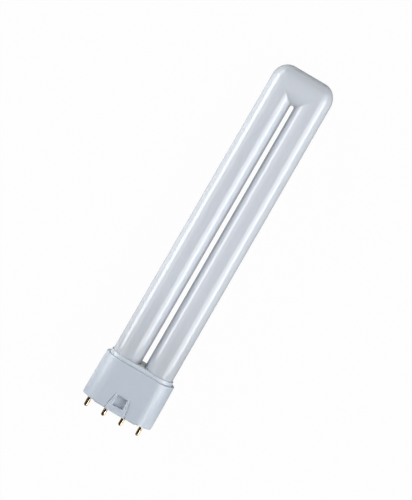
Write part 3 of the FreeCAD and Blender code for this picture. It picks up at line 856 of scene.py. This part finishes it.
def collar_mesh(collar, glass, segments):
    """The holder: a stadium block with two sockets, each with a lip at its foot."""
    bm = bmesh.new()
    pitch = glass.pitch_half
    steps = rounded(count=4)
    skin = StadiumSkin(bm, pitch, collar.radius, collar.foot, segments)
    foot_ring = skin.ring
    skin.to(pitch, collar.radius, collar.top - collar.edge)
    for across, rise in steps[1:]:
        skin.to(pitch, collar.radius - collar.edge * across,
                collar.top - collar.edge * (1 - rise))
    lip_radius = collar.bore - collar.lip
    lip_top = collar.foot + collar.lip_height
    top_rings, foot_rings = [skin.ring], [foot_ring]
    for side in (-1, 1):
        centre = Vector((side * pitch, 0.0, 0.0))
        ring = draw_circle(bm, segments * 2, collar.bore, centre.x, collar.top)
        top_rings.append(ring)
        ring = grow(bm, ring)
        resize_ring(bm, ring, centre, 1.0, lip_top - collar.top)
        ring = grow(bm, ring)
        resize_ring(bm, ring, centre, lip_radius / collar.bore, 0.0)
        ring = grow(bm, ring)
        resize_ring(bm, ring, centre, 1.0, collar.foot - lip_top)
        foot_rings.append(ring)
    for rings in (top_rings, foot_rings):
        edges = [edge for ring in rings for edge in ring]
        bmesh.ops.triangle_fill(bm, use_beauty=True, edges=edges)
    return bm


# Pins


def pin_mesh(pins, across, root_foot):
    """A hollow turned pin: round tip, plain shank, root and flange in the floor, open crimp."""
    tip = -pins.reach
    dome = [(pins.radius * rise, tip + pins.radius * share_across)
            for share_across, rise in rounded(count=10)]
    bore = pins.radius - pins.wall
    flange = pins.root + pins.flange_rim
    edge = pins.edge
    outline = dome + [
        (pins.radius, root_foot), (pins.root - edge, root_foot),
        (pins.root, root_foot + edge), (pins.root, pins.flange_foot),
        (flange, pins.flange_foot), (flange, pins.flange_top),
        (pins.radius, pins.flange_top), (pins.radius, pins.crimp_top - edge),
        (pins.radius - edge, pins.crimp_top), (bore, pins.crimp_top),
        (bore, tip + pins.tip_wall), (0.0, tip + pins.tip_wall)]
    bm = bmesh.new()
    verts = [bm.verts.new((across + radius, 0.0, height)) for radius, height in outline]
    edges = [bm.edges.new(pair) for pair in zip(verts, verts[1:])]
    bmesh.ops.spin(bm, geom=verts + edges, cent=(across, 0.0, 0.0), axis=(0.0, 0.0, 1.0),
                   angle=2 * math.pi, steps=pins.segments, use_merge=True)
    return bm


# Stage

FLOOR_HALF = 4.0
FLOOR_GAP = 0.01 * MM


def add_sky(stage):
    """A white sky to look at, which is dim in mirror images and gives no light."""
    world = bpy.data.worlds.new("studio")
    bpy.context.scene.world = world
    finish = Finish(world)
    seen = finish.ray("Camera") + finish.ray("Transmission")
    strength = seen + finish.ray("Glossy") * stage.mirrored_sky
    backdrop = finish.node("ShaderNodeBackground", {}, {
        "Color": (1.0, 1.0, 1.0), "Strength": strength})
    finish.surface(backdrop, "ShaderNodeOutputWorld")


def add_lamp(name, degrees, width, reach, glow, change=(0.0, 1.0), lights=True,
             mirrored=True):
    """A long soft lamp a metre from the bulb, at so many degrees from overhead towards +X, with
    a reach from one place along the bulb to another. Its glow changes from that of its left
    edge to that of its right edge over the stretch of its width that change gives. A fill
    lamp isn't mirrored, and a rim lamp is only mirrored."""
    low, high = reach
    data = bpy.data.lights.new(name, "AREA")
    data.shape = "RECTANGLE"
    data.size = width
    data.size_y = high - low
    # With this power, a glow of 1 looks as bright as plain white.
    data.energy = math.pi * width * (high - low)
    finish = Finish(data)
    place = finish.node("ShaderNodeNewGeometry").outputs["Parametric"]
    split = finish.node("ShaderNodeSeparateXYZ", {}, {"Vector": place})
    strength = Value(finish, split.outputs[0]).spread(*change, *glow)
    finish.surface(finish.glow(strength), "ShaderNodeOutputLight")
    lamp = bpy.data.objects.new(name, data)
    angle = math.radians(degrees)
    lamp.location = (math.sin(angle), (low + high) / 2, math.cos(angle))
    lamp.rotation_euler = (0.0, angle, 0.0)
    lamp.visible_camera = False
    lamp.visible_diffuse = lights
    lamp.visible_glossy = mirrored
    bpy.context.scene.collection.objects.link(lamp)


def add_floor(stage):
    """A wide floor a hair below the bulb, so that the two don't cut into each other."""
    bm = bmesh.new()
    bmesh.ops.create_grid(bm, x_segments=1, y_segments=1, size=FLOOR_HALF)
    floor = object_of("floor", bm)
    floor.data.transform(shifted(z=CAD_BOUNDS[0].z - FLOOR_GAP))
    floor.data.materials.append(white_floor(stage))


def add_camera(stage):
    """A long lens that sees the lamp from the front, a little from beyond its tip."""
    turned = LAY_DOWN.to_3x3()
    axis, front, side = (turned @ Vector(way) for way in ((0, 0, 1), (0, -1, 0), (1, 0, 0)))
    flat = math.cos(stage.tilt)
    towards = (front * flat * math.cos(stage.yaw) + side * flat * math.sin(stage.yaw)
               + axis * math.sin(stage.tilt)).normalized()
    lamp_up = (axis - towards * axis.dot(towards)).normalized()
    lamp_right = lamp_up.cross(towards)
    up = lamp_up * math.cos(stage.roll) - lamp_right * math.sin(stage.roll)
    right = up.cross(towards)
    target = turned @ Vector((-stage.aim_across, 0.0, stage.aim_along))
    data = bpy.data.cameras.new("camera")
    data.lens = data.sensor_width * stage.distance / stage.framed
    data.clip_end = 50.0
    camera = bpy.data.objects.new("camera", data)
    camera.matrix_world = (Matrix.Translation(target + towards * stage.distance)
                           @ Matrix((right, up, towards)).transposed().to_4x4())
    bpy.context.scene.collection.objects.link(camera)
    bpy.context.scene.camera = camera


# Operators


class BulbOperator:
    """What the bulb's operators share."""

    bl_options = {"REGISTER", "UNDO"}

    def execute(self, context):
        self.make(context.scene.bulb)
        return {"FINISHED"}


class BULB_OT_glass(BulbOperator, bpy.types.Operator):
    """Make the glass vessel: two legs joined by the bridge"""

    bl_idname = "bulb.make_glass"
    bl_label = "Glass"

    def make(self, bulb):
        add_piece("glass_vessel", glass_mesh(bulb.glass), coated_glass(bulb.glass),
                  "coated_glass", "discharge_tube")


class BULB_OT_cap(BulbOperator, bpy.types.Operator):
    """Make the housing of the cap with its catches, notches and pin holes"""

    bl_idname = "bulb.make_cap"
    bl_label = "Cap"

    def make(self, bulb):
        add_piece("cap_shell", housing_mesh(bulb.cap, bulb.catch),
                  moulded_plastic("cap_plastic", bulb.cap.plastic), "cap_plastic",
                  "cap_housing")


class BULB_OT_collar(BulbOperator, bpy.types.Operator):
    """Make the holder whose collar stands round the glass"""

    bl_idname = "bulb.make_collar"
    bl_label = "Collar"

    def make(self, bulb):
        add_piece("collar", collar_mesh(bulb.collar, bulb.glass, bulb.cap.segments),
                  moulded_plastic("collar_plastic", bulb.collar.plastic), "holder_plastic",
                  "tube_holder")


class BULB_OT_pins(BulbOperator, bpy.types.Operator):
    """Make the four contact pins"""

    bl_idname = "bulb.make_pins"
    bl_label = "Pins"

    def make(self, bulb):
        brass = turned_brass(bulb.pins.brass)
        for number, across in enumerate(PINS_ACROSS, start=1):
            root_foot = bulb.cap.pad_height if abs(across) > bulb.cap.pad_half else 0.0
            add_piece(f"pin_{number}", pin_mesh(bulb.pins, across, root_foot), brass,
                      "pin_brass", f"contact_pin_{number}")


class BULB_OT_inner_parts(BulbOperator, bpy.types.Operator):
    """Finish the cement and the lead wires, which keep their form from the frame"""

    bl_idname = "bulb.finish_inner_parts"
    bl_label = "Inner parts"

    def make(self, bulb):
        finishes = {"bonding_cement": grainy_cement(bulb.inside.cement),
                    "lead_wire": drawn_wire(bulb.inside.wire)}
        for name, node in frame["nodes"].items():
            for start, material in finishes.items():
                if name.startswith(start):
                    node.data.materials.clear()
                    node.data.materials.append(material)


class BULB_OT_stage(BulbOperator, bpy.types.Operator):
    """Set up the floor, the lamps, the sky and the camera"""

    bl_idname = "bulb.set_stage"
    bl_label = "Stage"

    def make(self, bulb):
        bpy.context.scene.view_settings.view_transform = "Standard"
        add_floor(bulb.stage)
        add_sky(bulb.stage)
        add_lamp("left_softbox", degrees=-74, width=0.54, reach=(-0.15, 0.5), glow=(6.2, 7.3))
        add_lamp("left_far", degrees=-75, width=0.5, reach=(0.5, 1.3), glow=(4.0, 4.0))
        add_lamp("left_fill", degrees=-43, width=0.35, reach=(-0.15, 0.2), glow=(1.8, 1.8))
        add_lamp("left_low", degrees=-86, width=0.3, reach=(0.0, 0.6), glow=(1.3, 1.3),
                 mirrored=False)
        add_lamp("right_softbox", degrees=55, width=0.66, reach=(-0.15, 0.5), glow=(4.0, 7.1),
                 change=(0.45, 0.75))
        add_lamp("right_rim", degrees=77.3, width=0.14, reach=(-0.15, 0.5), glow=(6.0, 6.0),
                 lights=False)
        add_lamp("right_low", degrees=57, width=0.2, reach=(-0.5, -0.235), glow=(12.0, 12.0))
        add_lamp("right_far", degrees=57, width=0.8, reach=(0.5, 1.3), glow=(2.0, 2.0))
        add_lamp("tip_fill", degrees=0, width=0.8, reach=(0.14, 1.4), glow=(0.5, 0.5),
                 mirrored=False)
        add_lamp("cap_fill", degrees=0, width=0.8, reach=(-0.8, -0.3), glow=(2.8, 2.8),
                 mirrored=False)
        add_camera(bulb.stage)


OPERATORS = [BULB_OT_glass, BULB_OT_cap, BULB_OT_collar, BULB_OT_pins, BULB_OT_inner_parts,
             BULB_OT_stage]


class BULB_PT_bench(bpy.types.Panel):
    """Lists the steps that make the bulb."""

    bl_label = "Bulb"
    bl_idname = "BULB_PT_bench"
    bl_space_type = "VIEW_3D"
    bl_region_type = "UI"
    bl_category = "Bulb"

    def draw(self, context):
        column = self.layout.column()
        for operator in OPERATORS:
            column.operator(operator.bl_idname)


CLASSES = [*PARTS.values(), BulbSettings, *OPERATORS, BULB_PT_bench]


def register():
    for item in CLASSES:
        bpy.utils.register_class(item)
    bpy.types.Scene.bulb = PointerProperty(type=BulbSettings)


def unregister():
    del bpy.types.Scene.bulb
    for item in reversed(CLASSES):
        bpy.utils.unregister_class(item)


def main():
    register()
    for operator in OPERATORS:
        group, name = operator.bl_idname.split(".")
        getattr(getattr(bpy.ops, group), name)()


if __name__ == "__main__":
    main()
